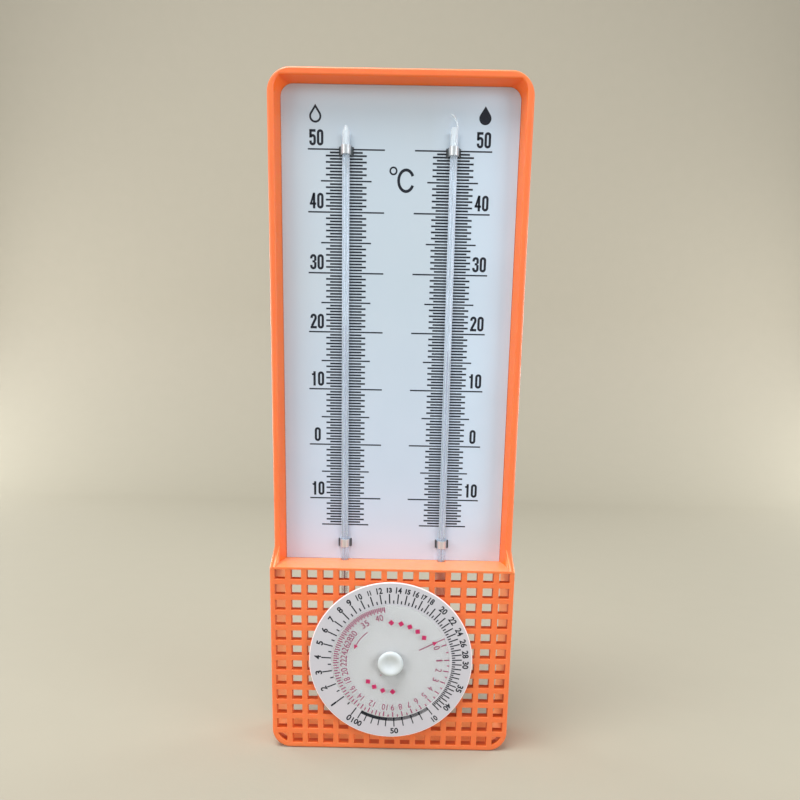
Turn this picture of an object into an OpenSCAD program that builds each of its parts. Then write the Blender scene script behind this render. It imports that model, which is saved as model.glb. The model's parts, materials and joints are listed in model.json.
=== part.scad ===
// Wet and dry bulb hygrometer in a moulded housing, standing on its own foot.
// Millimetres, +Z up, front towards -Y, origin at the centre of the foot's rectangle.

/* [Housing] */
// Overall height
body_h = 275.8; // [240:0.1:310]
// Width of the housing
body_w = 103.1; // [97:0.1:112]
// Depth of the foot, from the grille's face to the back rim
body_d = 26; // [25:0.5:32]
// Outer radius of the two upper corners
top_corner_r = 9.1; // [6:0.1:12]
// Outer radius of the two lower corners
foot_corner_r = 8.2; // [5:0.1:10]
// Height of the shelf's upper face above the foot
shelf_z = 81.9; // [78:0.1:86]
// Thickness of the side and back walls
wall_t = 2; // [1.6:0.1:2.4]
// Thickness of the box floor
floor_t = 2.3; // [2:0.1:3.2]
// Thickness of the shelf
shelf_t = 1.6; // [1.2:0.1:2]
// Width of the rim's front edge
rim_face = 2.65; // [2.2:0.05:3.6]
// Thickness of the rim's top wall
rim_top = 3; // [2:0.1:3.6]
// How far the rim stands in front of the scale plate
rim_ahead = 7.1; // [5:0.1:9]
// How far the grille's face stands in front of the scale plate
plate_back = 18.4; // [17:0.1:19]

/* [Grille] */
// Thickness of the grille
grille_t = 4; // [2:0.1:4.2]
// Number of columns of holes
hole_cols = 15; // [11:2:15]
// Number of rows of holes
hole_rows = 12; // [8:1:12]
// Distance from one hole to the next
hole_pitch = 6.75; // [6.5:0.05:6.75]
// Side of a hole
hole_side = 4.4; // [3:0.1:4.6]
// Height of the first row's upper edge above the foot
hole_top_z = 81.1; // [80.9:0.1:81.4]

/* [Scale plate] */
// Thickness of the scale plate
plate_t = 1.2; // [0.8:0.1:1.6]
// Distance of each thermometer from the middle
tube_x = 21.4; // [18:0.1:24]
// Height of the zero line above the foot
zero_z = 132.4; // [128:0.1:136]
// Height of one degree on the scale
degree_z = 2.337; // [2:0.001:2.5]

/* [Thermometers] */
// Outer radius of the glass stem
stem_r = 1.5; // [1.4:0.05:1.8]
// Radius of the capillary bore
bore_r = 0.25; // [0.2:0.05:0.5]
// Outer radius of the bulb
bulb_r = 2.5; // [2.1:0.1:2.8]
// Height of the bulb's lower end above the foot
bulb_z = 48; // [45:0.5:54]
// Height of the dry stem's closed tip above the foot
tip_z = 257.4; // [255:0.1:262]
// Temperature shown by the dry thermometer
dry_reading = 21; // [-10:0.5:45]
// Temperature shown by the wet thermometer
wet_reading = 17; // [-10:0.5:45]

/* [Dial] */
// Radius of the fixed dial
dial_r = 34.9; // [30:0.1:37]
// Height of the dial's centre above the foot
dial_z = 41.8; // [39:0.1:44]
// Radius of the turning disc
disc_r = 25.2; // [20:0.1:28]
// Radius of the knob
knob_r = 5.4; // [4.5:0.1:6.5]

/* [Water cup] */
// Outer radius of the cup
cup_r = 8.5; // [8.2:0.1:8.7]
// Height of the cup
cup_h = 24; // [20:0.5:26]
// Height of the cup's underside above the foot
cup_z = 17; // [15:0.5:20]

/* [Hidden] */
$fn = 96;
eps = 0.05;

front_y = -body_d / 2;
back_y = body_d / 2;
grille_back_y = front_y + grille_t;
plate_y = front_y + plate_back;
rim_y = plate_y - rim_ahead;
panel_y = plate_y + plate_t;
panel_t = 1.8;
hollow_y = panel_y + panel_t;

lip_t = 1;
lip_z = shelf_z - lip_t;
recess_top = body_h - rim_top;
recess_draft = 1.4;
recess_half = body_w / 2 - rim_face - recess_draft;
recess_r = 5;
ramp_h = 6.8;
inner_half = body_w / 2 - wall_t;

rib_t = 1.6;
rib_depth = 2.6;
rib_heights = [120, 166, 212];

hanger_r = 2.5;
hanger_z = 264;
hanger_half = 9;
hanger_drop = 16;
hanger_t = 1.8;
hanger_cheek = 1.4;

tube_y = plate_y - stem_r - 0.2;
glass_wall = 0.45;
spirit_gap = 0.03;
bulb_neck_z = bulb_z + 12;
shelf_hole_r = stem_r + 0.5;
tail_r = 0.35;
tail_bend_r = 5.95;
tail_angle = 52;
tail_x = tube_x + stem_r - tail_r;
wet_shoulder_z = 256.2;

strap_t = 0.35;
strap_h = 3.4;
strap_in = stem_r + 0.06;
strap_spread = 0.9;
strap_foot = 2.4;
strap_clear = 0.15;
upper_clip_z = zero_z + 50 * degree_z - 0.85;
lower_clip_z = 89.4;

wick_gap = 0.08;
wick_t = 0.9;
wick_top_z = 79;
wick_tail_r = 1.3;
wick_end_z = 28.2;

bracket_half = 6;
bracket_t = 1;
bracket_low_z = 27.5;
bracket_high_z = 49;
rail_neck = 1.5;
rail_head = 3;
rail_neck_d = 1.4;
rail_head_d = 1.2;
rail_play = 0.3;
block_gap = 0.4;
cup_wall = 1.2;
cup_floor = 1.5;
block_h = 14;
block_half = 5;

peg_side = hole_side - 0.2;
peg_short = 0.6;
boss_r = 8;
boss_t = 1;
dial_t = 1;
dial_back_y = front_y - boss_t;
dial_face_y = dial_back_y - dial_t;
spacer_t = 0.3;
disc_gap = 0.05;
disc_t = 0.8;
disc_back_y = dial_face_y - spacer_t - disc_gap;
disc_face_y = disc_back_y - disc_t;
knob_h = 2.4;
knob_face_y = disc_face_y - knob_h;
shank_r = 2;
shank_bore_r = 2.06;
washer_t = 0.6;
nut_t = 1;
nut_r = 4.2;
nut_y = grille_back_y + washer_t + disc_gap;

body_colour = [1.0, 0.42, 0.16];
plate_colour = [0.86, 0.88, 0.92];
glass_colour = [0.8, 0.9, 0.95, 0.4];
spirit_colour = [0.55, 0.3, 0.5];
metal_colour = [0.75, 0.77, 0.78];
wick_colour = [0.93, 0.62, 0.55];
cup_colour = [0.92, 0.93, 0.9, 0.6];
dial_colour = [0.88, 0.88, 0.92];
disc_colour = [0.95, 0.9, 0.95, 0.35];
knob_colour = [0.95, 0.96, 0.97];

// A flat shape drawn in width and height, made solid from depth y0 to depth y1
module slab(y0, y1) {
    translate([0, y1, 0]) rotate([90, 0, 0]) linear_extrude(y1 - y0) children();
}

// A shape turned about an axis that points forwards, drawn as radius and depth
module turned(x, z) {
    translate([x, 0, z]) rotate([90, 0, 0]) rotate_extrude() children();
}

// A rod that points forwards, from depth y0 to depth y1
module rod(x, z, r, y0, y1) {
    translate([x, y1, z]) rotate([90, 0, 0]) cylinder(r = r, h = y1 - y0);
}

// A rectangle from z0 to z1 with its lower and upper corners rounded
module rounded(half, z0, z1, r_low, r_high) {
    translate([-half, z0 + r_low]) square([2 * half, z1 - z0 - r_low - r_high]);
    translate([-half + r_low, z0]) square([2 * (half - r_low), r_low + eps]);
    translate([-half + r_high, z1 - r_high - eps]) square([2 * (half - r_high), r_high + eps]);
    for (side = [-1, 1]) {
        if (r_low > 0) translate([side * (half - r_low), z0 + r_low]) circle(r_low);
        if (r_high > 0) translate([side * (half - r_high), z1 - r_high]) circle(r_high);
    }
}

module outline() {
    rounded(body_w / 2, 0, body_h, foot_corner_r, top_corner_r);
}

function column_x(i) = (i - (hole_cols - 1) / 2) * hole_pitch;
function row_z(j) = hole_top_z - hole_side / 2 - j * hole_pitch;

// The slots that a clip's two legs pass through
module leg_slots(x, z, y0, y1) {
    leg_x = stem_r + strap_spread + strap_t / 2 + 0.06;
    for (side = [-1, 1])
        translate([x + side * leg_x - strap_t / 2 - strap_clear, y0, z - strap_h / 2 - strap_clear])
            cube([strap_t + 2 * strap_clear, y1 - y0, strap_h + 2 * strap_clear]);
}

module all_leg_slots(y0, y1) {
    for (x = [-tube_x, tube_x], z = [upper_clip_z, lower_clip_z]) leg_slots(x, z, y0, y1);
}

// The recess for the scale plate, its side walls leaning outwards to the front
module recess() {
    slab(rim_y - eps, panel_y) rounded(recess_half, shelf_z, recess_top, 0, recess_r);
    bend_x = recess_half - recess_r;
    bend_z = recess_top - recess_r;
    for (side = [-1, 1]) {
        translate([0, 0, shelf_z]) linear_extrude(bend_z - shelf_z)
            polygon([[side * bend_x, plate_y], [side * recess_half, plate_y],
                     [side * (recess_half + recess_draft), rim_y],
                     [side * (recess_half + recess_draft), front_y - 1], [side * bend_x, front_y - 1]]);
        intersection() {
            translate([side * bend_x, rim_y, bend_z]) rotate([-90, 0, 0])
                union() {
                    cylinder(r1 = recess_r + recess_draft, r2 = recess_r, h = rim_ahead);
                    translate([0, 0, -1]) cylinder(r = recess_r + recess_draft, h = 1);
                }
            translate([-body_w, rim_y - 1, bend_z - eps]) cube([2 * body_w, rim_ahead + 2, recess_r + eps]);
        }
    }
}

// The slope at each side where the rim comes forward to the box's face, before the recess is cut
module ramp(side) {
    inner = recess_half;
    outer = body_w / 2;
    translate([side > 0 ? inner : -outer, 0, 0]) rotate([90, 0, 90]) linear_extrude(outer - inner)
        polygon([[rim_y + eps, shelf_z - eps], [front_y, shelf_z - eps], [front_y, shelf_z],
                 [rim_y, shelf_z + ramp_h], [rim_y + eps, shelf_z + ramp_h]]);
}

// A tab bridged across two cheeks under the rim's top wall, with the hole that it hangs by
module hanging_tab() {
    color(body_colour)
        difference() {
            union() {
                translate([-hanger_half, back_y - hanger_t, recess_top - hanger_drop])
                    cube([2 * hanger_half, hanger_t, hanger_drop]);
                for (side = [-1, 1])
                    translate([side * (hanger_half + hanger_cheek / 2) - hanger_cheek / 2, hollow_y,
                               recess_top - hanger_drop])
                        cube([hanger_cheek, back_y - hollow_y, hanger_drop]);
            }
            rod(0, hanger_z, hanger_r, back_y - hanger_t - 1, back_y + 1);
        }
}

module ribs() {
    low = shelf_z + shelf_t;
    translate([-rib_t / 2, hollow_y - eps, low - 1])
        cube([rib_t, rib_depth, recess_top - hanger_drop - low + 1]);
    for (z = rib_heights)
        translate([-inner_half - eps, hollow_y - eps, z - rib_t / 2])
            cube([2 * (inner_half + eps), rib_depth, rib_t]);
}

module housing() {
    color(body_colour) {
        difference() {
            union() {
                slab(grille_back_y, back_y)
                    intersection() { outline(); translate([-body_w, 0]) square([2 * body_w, shelf_z]); }
                slab(rim_y, back_y)
                    intersection() {
                        outline();
                        translate([-body_w, shelf_z - eps]) square([2 * body_w, body_h]);
                    }
                translate([-body_w / 2, front_y, lip_z])
                    cube([body_w, grille_t + eps, lip_t]);
                for (side = [-1, 1]) ramp(side);
            }
            recess();
            slab(grille_back_y - eps, back_y + eps)
                rounded(inner_half, floor_t, shelf_z - shelf_t, foot_corner_r - wall_t, 1);
            slab(hollow_y, back_y + eps)
                rounded(inner_half, shelf_z + shelf_t - 1, recess_top, 1, top_corner_r - wall_t);
            for (x = [-tube_x, tube_x])
                translate([x, tube_y, shelf_z - shelf_t - 1]) cylinder(r = shelf_hole_r, h = shelf_t + 2);
            all_leg_slots(panel_y - 1, hollow_y + 1);
        }
        ribs();
    }
}

module grille_region() {
    rounded(body_w / 2 - 2.05, floor_t + 0.1, lip_z + 1, 7, 0);
}

module front_grille() {
    color(body_colour) {
        difference() {
            union() {
                slab(front_y, grille_back_y)
                    difference() {
                        intersection() { outline(); translate([-body_w, 0]) square([2 * body_w, lip_z]); }
                        intersection() {
                            grille_region();
                            for (i = [0 : hole_cols - 1], j = [0 : hole_rows - 1])
                                translate([column_x(i), row_z(j)]) square(hole_side, center = true);
                        }
                    }
                rod(0, dial_z, boss_r, dial_back_y, grille_back_y);
            }
            rod(0, dial_z, shank_bore_r, dial_back_y - 1, grille_back_y + 1);
        }
    }
}

module scale_plate() {
    color(plate_colour)
        difference() {
            slab(plate_y, panel_y)
                rounded(recess_half - 0.1, shelf_z + 0.1, recess_top - 0.1, 0, recess_r - 0.1);
            all_leg_slots(plate_y - 1, panel_y + 1);
        }
}

// Outside of a thermometer, grown by g, from its bulb to the height top
module stem_body(g, top) {
    translate([0, 0, bulb_z + bulb_r]) sphere(r = bulb_r + g);
    translate([0, 0, bulb_z + bulb_r]) cylinder(r = bulb_r + g, h = bulb_neck_z - 2 - bulb_z - bulb_r);
    translate([0, 0, bulb_neck_z - 2]) cylinder(r1 = bulb_r + g, r2 = stem_r + g, h = 2);
    translate([0, 0, bulb_neck_z]) cylinder(r = stem_r + g, h = top - bulb_neck_z);
}

// The space inside a thermometer, shrunk by g, up to the height top
module stem_space(g, top) {
    r = bulb_r - glass_wall - g;
    translate([0, 0, bulb_z + bulb_r]) sphere(r = r);
    translate([0, 0, bulb_z + bulb_r]) cylinder(r = r, h = bulb_neck_z - 2 - bulb_z - bulb_r);
    translate([0, 0, bulb_neck_z - 2]) cylinder(r1 = r, r2 = bore_r - g, h = 1.6);
    translate([0, 0, bulb_neck_z - 1]) cylinder(r = bore_r - g, h = top - bulb_neck_z + 1);
}

module dry_tube() {
    neck_r = 0.8;
    taper = 2.4;
    color(glass_colour) translate([-tube_x, tube_y, 0])
        difference() {
            union() {
                stem_body(0, tip_z - taper);
                translate([0, 0, tip_z - taper]) cylinder(r1 = stem_r, r2 = neck_r, h = taper - neck_r);
                translate([0, 0, tip_z - neck_r]) sphere(r = neck_r);
            }
            stem_space(0, tip_z - 3);
        }
}

module wet_tube() {
    color(glass_colour) {
        translate([tube_x, tube_y, 0])
            difference() {
                union() {
                    stem_body(0, wet_shoulder_z);
                    translate([0, 0, wet_shoulder_z]) cylinder(r1 = stem_r, r2 = 1.1, h = 0.8);
                }
                stem_space(0, wet_shoulder_z - 1);
            }
        translate([tail_x, tube_y, wet_shoulder_z - 1.5]) cylinder(r = tail_r, h = 2.5);
        translate([tail_x - tail_bend_r, tube_y, wet_shoulder_z + 1]) rotate([90, 0, 0])
            rotate_extrude(angle = tail_angle) translate([tail_bend_r, 0]) circle(tail_r);
        translate([tail_x - tail_bend_r + tail_bend_r * cos(tail_angle), tube_y,
                   wet_shoulder_z + 1 + tail_bend_r * sin(tail_angle)]) sphere(r = tail_r);
    }
}

module spirit(x, reading) {
    color(spirit_colour) translate([x, tube_y, 0]) stem_space(spirit_gap, zero_z + reading * degree_z);
}

module dry_spirit() { spirit(-tube_x, dry_reading); }

module wet_spirit() { spirit(tube_x, wet_reading); }

// A metal strap bent over the stem, its legs spread, passed back through the plate and folded
module clip(x, z) {
    out = strap_in + strap_t;
    knee = strap_in + strap_spread;
    bend_y = plate_y - tube_y;
    fold_y = hollow_y - tube_y + 0.05;
    color(metal_colour) translate([x, tube_y, z - strap_h / 2]) linear_extrude(strap_h) {
        difference() {
            union() {
                circle(out);
                polygon([[-out, 0], [out, 0],
                         [knee + strap_t, bend_y], [knee + strap_t, fold_y + strap_t],
                         [-knee - strap_t, fold_y + strap_t], [-knee - strap_t, bend_y]]);
            }
            circle(strap_in);
            polygon([[-strap_in, 0], [strap_in, 0], [knee, bend_y], [knee, fold_y + 1],
                     [-knee, fold_y + 1], [-knee, bend_y]]);
        }
        for (side = [-1, 1])
            translate([side > 0 ? knee : -knee - strap_foot, fold_y]) square([strap_foot, strap_t]);
    }
}

module dry_upper_clip() { clip(-tube_x, upper_clip_z); }

module dry_lower_clip() { clip(-tube_x, lower_clip_z); }

module wet_upper_clip() { clip(tube_x, upper_clip_z); }

module wet_lower_clip() { clip(tube_x, lower_clip_z); }

// A cotton sleeve over the wet bulb, its tail hanging into the cup
module wick() {
    color(wick_colour) translate([tube_x, tube_y, 0]) {
        difference() {
            stem_body(wick_gap + wick_t, wick_top_z);
            stem_body(wick_gap, wick_top_z + 1);
        }
        translate([0, 0, wick_end_z]) cylinder(r = wick_tail_r, h = bulb_z - wick_gap - wick_end_z - 0.1);
    }
}

// A plate that plugs into two grille holes and carries the cup's rail
module cup_bracket() {
    plug_x = 3 * hole_pitch;
    neck_y = grille_back_y + bracket_t;
    height = bracket_high_z - bracket_low_z;
    color(body_colour) {
        translate([tube_x - bracket_half, grille_back_y, bracket_low_z])
            cube([2 * bracket_half, bracket_t, height]);
        translate([tube_x - rail_neck, neck_y - eps, bracket_low_z])
            cube([2 * rail_neck, rail_neck_d + 2 * eps, height]);
        translate([tube_x - rail_head, neck_y + rail_neck_d, bracket_low_z])
            cube([2 * rail_head, rail_head_d, height]);
        for (j = [5, 7])
            translate([plug_x - peg_side / 2, front_y + peg_short, row_z(j) - peg_side / 2])
                cube([peg_side, grille_t - peg_short + eps, peg_side]);
    }
}

// An open cup with a slotted block that slides on the bracket's rail
module water_cup() {
    neck_y = grille_back_y + bracket_t;
    block_front = neck_y + block_gap;
    head_front = neck_y + rail_neck_d - rail_play;
    head_back = neck_y + rail_neck_d + rail_head_d + rail_play;
    top = cup_z + cup_h;
    color(cup_colour)
        difference() {
            union() {
                translate([tube_x, tube_y, cup_z]) cylinder(r = cup_r, h = cup_h);
                translate([tube_x - block_half, block_front, top - block_h])
                    cube([2 * block_half, tube_y - cup_r + cup_wall - block_front, block_h]);
            }
            translate([tube_x, tube_y, cup_z + cup_floor]) cylinder(r = cup_r - cup_wall, h = cup_h);
            translate([tube_x - rail_neck - rail_play, block_front - 1, top - block_h - 1])
                cube([2 * (rail_neck + rail_play), head_front - block_front + 1.5, block_h + 2]);
            translate([tube_x - rail_head - rail_play, head_front, top - block_h - 1])
                cube([2 * (rail_head + rail_play), head_back - head_front, block_h + 2]);
        }
}

// The fixed dial, with two square pegs that key it into the grille
module dial_base() {
    color(dial_colour)
        difference() {
            union() {
                rod(0, dial_z, dial_r, dial_face_y, dial_back_y);
                for (x = [-2 * hole_pitch, 2 * hole_pitch])
                    translate([x - peg_side / 2, dial_back_y - eps, row_z(6) - peg_side / 2])
                        cube([peg_side, boss_t + grille_t - peg_short + eps, peg_side]);
            }
            rod(0, dial_z, shank_bore_r, dial_face_y - 1, dial_back_y + 1);
        }
}

module dial_spacer() {
    color(knob_colour)
        difference() {
            rod(0, dial_z, 4.5, dial_face_y - spacer_t, dial_face_y);
            rod(0, dial_z, shank_bore_r, dial_face_y - 1, dial_face_y + 1);
        }
}

module dial_disc() {
    color(disc_colour)
        difference() {
            rod(0, dial_z, disc_r, disc_face_y, disc_back_y);
            rod(0, dial_z, shank_r, disc_face_y - 1, disc_back_y + 1);
        }
}

// The knob, flared and hollowed like a dish in front, on a shank that runs through the dial and the grille
module dial_knob() {
    dish_r = 7;
    dish_depth = 0.9;
    foot_r = knob_r - 1;
    flare_y = disc_face_y - 1.2;
    color(knob_colour)
        difference() {
            union() {
                turned(0, dial_z)
                    polygon([[0, -disc_face_y], [foot_r, -disc_face_y], [knob_r, -flare_y],
                             [knob_r, -knob_face_y], [0, -knob_face_y]]);
                rod(0, dial_z, shank_r, disc_face_y - 0.5, nut_y + nut_t + 0.4);
            }
            translate([0, knob_face_y + dish_depth - dish_r, dial_z]) sphere(r = dish_r);
        }
}

module pivot_washer() {
    color(metal_colour)
        difference() {
            rod(0, dial_z, 5, grille_back_y, grille_back_y + washer_t);
            rod(0, dial_z, shank_bore_r, grille_back_y - 1, grille_back_y + washer_t + 1);
        }
}

// A spring nut pushed on to the shank's end, with four slits between its gripping tongues
module push_nut() {
    color(metal_colour)
        difference() {
            rod(0, dial_z, nut_r, nut_y, nut_y + nut_t);
            rod(0, dial_z, shank_r, nut_y - 1, nut_y + nut_t + 1);
            for (a = [45 : 90 : 315])
                translate([0, nut_y - 1, dial_z]) rotate([0, a, 0])
                    translate([0, 0, -0.25]) cube([nut_r - 1, nut_t + 2, 0.5]);
        }
}

housing();
hanging_tab();
front_grille();
scale_plate();
dry_tube();
wet_tube();
dry_spirit();
wet_spirit();
dry_upper_clip();
dry_lower_clip();
wet_upper_clip();
wet_lower_clip();
wick();
cup_bracket();
water_cup();
dial_base();
dial_spacer();
dial_disc();
dial_knob();
push_nut();
pivot_washer();
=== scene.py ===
"""Dresses the wet and dry bulb hygrometer for its portrait.

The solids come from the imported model. Each sub-assembly is a class that shapes its visible pieces
around those solids, prints its scales and gives every surface its finish.
"""

from __future__ import annotations

import json
import logging
import math
from dataclasses import dataclass
from enum import Enum
from typing import Any, Callable, Sequence

import bmesh
import bpy
from mathutils import Matrix, Vector, noise

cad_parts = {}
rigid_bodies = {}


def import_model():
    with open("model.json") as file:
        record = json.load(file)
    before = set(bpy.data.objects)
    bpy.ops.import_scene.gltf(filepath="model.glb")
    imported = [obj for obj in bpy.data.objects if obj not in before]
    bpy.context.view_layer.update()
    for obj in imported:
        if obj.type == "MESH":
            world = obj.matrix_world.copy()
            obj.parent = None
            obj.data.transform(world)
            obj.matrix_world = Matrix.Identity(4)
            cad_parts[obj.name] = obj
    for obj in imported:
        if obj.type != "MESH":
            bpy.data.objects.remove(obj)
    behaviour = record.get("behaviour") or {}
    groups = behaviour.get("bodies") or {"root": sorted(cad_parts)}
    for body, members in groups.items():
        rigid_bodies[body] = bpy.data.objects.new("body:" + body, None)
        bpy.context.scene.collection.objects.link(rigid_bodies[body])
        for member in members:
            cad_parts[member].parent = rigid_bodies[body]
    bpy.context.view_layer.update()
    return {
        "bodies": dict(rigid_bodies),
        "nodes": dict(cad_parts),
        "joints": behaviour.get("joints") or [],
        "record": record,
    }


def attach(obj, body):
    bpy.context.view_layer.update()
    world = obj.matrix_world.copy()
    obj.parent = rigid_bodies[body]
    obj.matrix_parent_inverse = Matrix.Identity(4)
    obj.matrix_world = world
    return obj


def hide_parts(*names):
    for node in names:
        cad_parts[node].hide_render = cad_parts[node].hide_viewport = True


LOG = logging.getLogger("hygrometer")
MM = 0.001
SAME_SPOT = 1e-6  # corners of a solid that are closer than this are one
SAME_INK = 1e-7  # the same for the fine prints
SHARP = 30.0  # edges that turn by more degrees than this are sharp
SMOOTH = 35.0  # edges that turn by less degrees than this are shaded smooth
EVEN_WEIGHT = 75  # how much the even shading follows the larger faces
INK_T = 0.00003  # thickness of a print
TUBE_X = 0.0214  # the thermometers' axes stand this far to the left and right of the middle
TUBE_Y = 0.0037  # and at this depth

Colour = tuple[float, float, float, float]
Span = tuple[float, float]
Point = tuple[float, float]
Place = tuple[float, float, float]
Tick = tuple[float, float, float]  # inner and outer end as shares of a radius, and the width
Strokes = list[tuple[float, ...]]
BMesh = bmesh.types.BMesh
Edge = bmesh.types.BMEdge
Face = bmesh.types.BMFace
Piece = bpy.types.Object
Material = bpy.types.Material
Socket = bpy.types.NodeSocket


class Body(Enum):
    """The rigid bodies that a piece can ride on."""

    FRAME = "frame"
    DIAL = "dial"
    CUP = "cup"


class Slot(Enum):
    """The record's material slots that the new pieces stand for."""

    ORANGE = "orange_plastic"
    PLATE = "white_plate"
    GLASS = "glass"
    METAL = "clip_metal"
    COTTON = "cotton"
    MILKY = "milky_plastic"
    DIAL = "dial_white"
    CLEAR = "clear_plastic"
    KNOB = "knob_white"


def linear(red: float, green: float, blue: float) -> Colour:
    """Turns a display colour, from 0 to 255, into the linear one that shaders use."""
    shares = [value / 255 for value in (red, green, blue)]
    return (*(s / 12.92 if s <= 0.04045 else ((s + 0.055) / 1.055) ** 2.4 for s in shares), 1.0)


class Graph:
    """A material under construction, with short calls for the nodes that the finishes share."""

    def __init__(self, name: str) -> None:
        """Starts an empty material.

        Args:
            name: Name of the material.
        """
        self.material = bpy.data.materials.new(name)
        self.material.use_nodes = True
        self.tree = self.material.node_tree
        self.tree.nodes.clear()
        self.output = self.node("OutputMaterial")
        self.place = self.node("TexCoord").outputs["Object"]

    def node(self, kind: str, inputs: dict[str | int, Any] | None = None,
             **settings: Any) -> bpy.types.Node:
        """Adds a node, sets its options and fills its sockets.

        Args:
            kind: The shader node's type.
            inputs: A value or a socket for each named or numbered input.
            settings: The node's own options.

        Returns:
            The new node.
        """
        made = self.tree.nodes.new("ShaderNode" + kind)
        for key, value in settings.items():
            setattr(made, key, value)
        for key, value in (inputs or {}).items():
            if isinstance(value, Socket):
                self.tree.links.new(value, made.inputs[key])
            else:
                made.inputs[key].default_value = value
        return made

    def along(self, axis: str, vector: Socket | None = None) -> Socket:
        """Gives one part of a vector, or of the object coordinates in metres."""
        return self.node("SeparateXYZ", {0: vector or self.place}).outputs[axis]

    def stretched(self, scale: Place) -> Socket:
        """Gives the object coordinates scaled along each axis."""
        return self.node("Mapping", {"Vector": self.place, "Scale": scale}).outputs[0]

    def noise(self, size: float, detail: float, vector: Socket | None = None) -> Socket:
        """Adds noise with blotches of a size in metres and so many octaves of finer detail."""
        inputs = {"Vector": vector or self.place, "Scale": 1 / size, "Detail": detail}
        return self.node("TexNoise", inputs).outputs["Fac"]

    def remap(self, value: Socket, low: float, high: float, span: Span = (0.3, 0.7)) -> Socket:
        """Stretches a value from its span on to the range from low to high."""
        ends = {"From Min": span[0], "From Max": span[1], "To Min": low, "To Max": high}
        return self.node("MapRange", {"Value": value, **ends}).outputs["Result"]

    def blend(self, share: Socket, first: Any, second: Any) -> Socket:
        """Mixes two colours by a share between 0 and 1."""
        return self.node("Mix", {0: share, 6: first, 7: second}, data_type="RGBA").outputs[2]

    def mixed(self, share: Any, first: Socket, second: Socket) -> Socket:
        """Mixes two shaders by a share between 0 and 1."""
        return self.node("MixShader", {0: share, 1: first, 2: second}).outputs[0]

    def maths(self, operation: str, *values: Socket) -> Socket:
        """Works out one value from one or two others."""
        return self.node("Math", dict(enumerate(values)), operation=operation).outputs[0]

    def bump(self, height: Socket, depth: float) -> Socket:
        """Turns a height pattern, whose full step is so many metres deep, into a normal."""
        return self.node("Bump", {"Height": height, "Distance": depth}).outputs["Normal"]

    def grained(self, size: float, detail: float, depth: float) -> Socket:
        """Gives the normal of a surface with a grain of a size and a depth in metres."""
        return self.bump(self.noise(size, detail), depth)

    def clouded(self, size: float, detail: float, first: Any, second: Any, share: float = 1.0,
                span: Span = (0.3, 0.7)) -> Socket:
        """Mixes two colours by noise, up to a share of the second one."""
        return self.blend(self.remap(self.noise(size, detail), 0, share, span), first, second)

    def principled(self, tint: Any, gloss: Any, others: dict[str, Any]) -> Socket:
        """Adds the main surface shader with its colour, roughness and other inputs."""
        inputs = {"Base Color": tint, "Roughness": gloss, **others}
        return self.node("BsdfPrincipled", inputs).outputs["BSDF"]


@dataclass(frozen=True)
class Finish:
    """The look of a surface, which each kind of finish gives a shader."""

    name: str

    def material(self) -> Material:
        """Builds the finish.

        Returns:
            The material with its shader connected.
        """
        graph = Graph(self.name)
        graph.tree.links.new(self.shader(graph), graph.output.inputs["Surface"])
        return graph.material

    def shader(self, graph: Graph) -> Socket:
        """Adds the nodes of the finish.

        Args:
            graph: Graph of the finish's material.

        Returns:
            The shader that the nodes lead to.
        """
        raise NotImplementedError


@dataclass(frozen=True)
class MouldedPlastic(Finish):
    """Moulded plastic with soft flow marks and a fine skin.

    It is paler where it looks upwards, which is painted light from above, and deeper where it looks
    sideways, which is painted shade.
    """

    colour: Colour
    deep: Colour
    roughness: float = 0.38
    grain: float = 0.0005
    grain_depth: float = 0.000005
    clouds: float = 0.03
    coat: float = 0.08
    coat_roughness: float = 0.25
    # colour of the painted light on faces that look upwards
    sky: Colour | None = None
    # colour of the painted shade on faces that look sideways
    side: Colour | None = None
    glow: float = 0.0
    glow_depth: float = 0.003
    glow_reach: Place = (1.0, 0.35, 0.12)
    flow_span: Span = (0.25, 0.75)
    side_span: Span = (0.35, 0.9)
    sky_span: Span = (0.35, 0.85)
    dust: float = 0.003
    dust_gloss: float = 0.04
    index: float = 1.5

    def shader(self, graph: Graph) -> Socket:
        """Adds the plastic's nodes, as Finish.shader says."""
        tint = graph.clouded(self.clouds, 3, self.colour, self.deep, span=self.flow_span)
        normal = graph.node("NewGeometry").outputs["Normal"]
        # painted shade: faces that look neither forwards nor backwards blend towards a deeper
        # orange
        if self.side:
            frontal = graph.maths("ABSOLUTE", graph.along("Y", normal))
            tint = graph.blend(graph.remap(frontal, 0, 1, self.side_span), self.side, tint)
        # painted light: faces that look upwards blend towards a paler colour
        if self.sky:
            upward = graph.remap(graph.along("Z", normal), 0, 1, self.sky_span)
            tint = graph.blend(upward, tint, self.sky)
        gloss = graph.remap(graph.noise(self.dust, 4), self.roughness - self.dust_gloss,
                            self.roughness + self.dust_gloss)
        return graph.principled(tint, gloss, {
            "Normal": graph.grained(self.grain, 3, self.grain_depth), "IOR": self.index,
            "Subsurface Weight": self.glow, "Subsurface Scale": self.glow_depth,
            "Subsurface Radius": self.glow_reach,
            "Coat Weight": self.coat, "Coat Roughness": self.coat_roughness})


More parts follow.
